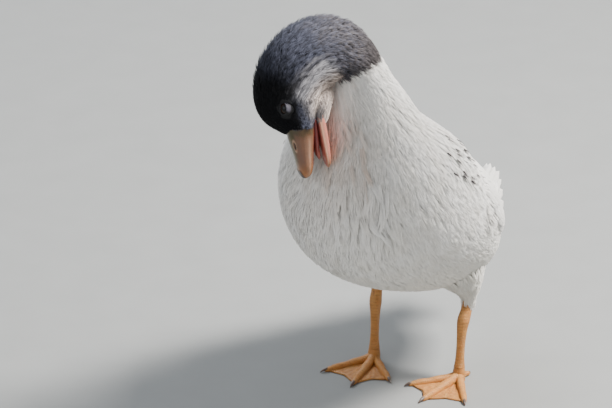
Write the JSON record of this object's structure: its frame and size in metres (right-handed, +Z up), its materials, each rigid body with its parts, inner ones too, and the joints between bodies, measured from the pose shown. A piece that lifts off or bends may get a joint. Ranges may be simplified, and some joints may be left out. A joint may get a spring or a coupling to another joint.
{
  "type": "bantam call duck",
  "caption": "Life-size model of a standing bantam call duck with a white body, a grey head turned down, its bill tucked to the breast, and orange legs.",
  "frame": {"origin": "on the ground, in the middle of the duck's outline seen from above", "axes": "+X is the way the body faces, +Y is its left, +Z is up"},
  "size_m": [0.249, 0.1344, 0.2731],
  "materials": {
    "white_feathers": "soft matt plumage, white with a warm tint",
    "grey_feathers": "soft matt plumage, slate grey",
    "bill_horn": "smooth horn with a low sheen",
    "mouth_flesh": "smooth, slightly moist skin",
    "eye_dark": "high gloss",
    "leg_skin": "finely scaled skin, matt"
  },
  "bodies": {
    "root": {"torso": "white_feathers", "neck_lower": "white_feathers", "neck_upper": "white_feathers", "head": "grey_feathers", "eye_left": "eye_dark", "eye_right": "eye_dark", "bill_upper": "bill_horn", "bill_lower": "mouth_flesh", "tongue": "mouth_flesh", "tail": "white_feathers", "wing_left": "white_feathers", "wing_right": "white_feathers", "thigh_left": "white_feathers", "thigh_right": "white_feathers", "shank_left": "leg_skin", "shank_right": "leg_skin", "foot_left": "leg_skin", "foot_right": "leg_skin"}
  },
  "joints": []
}
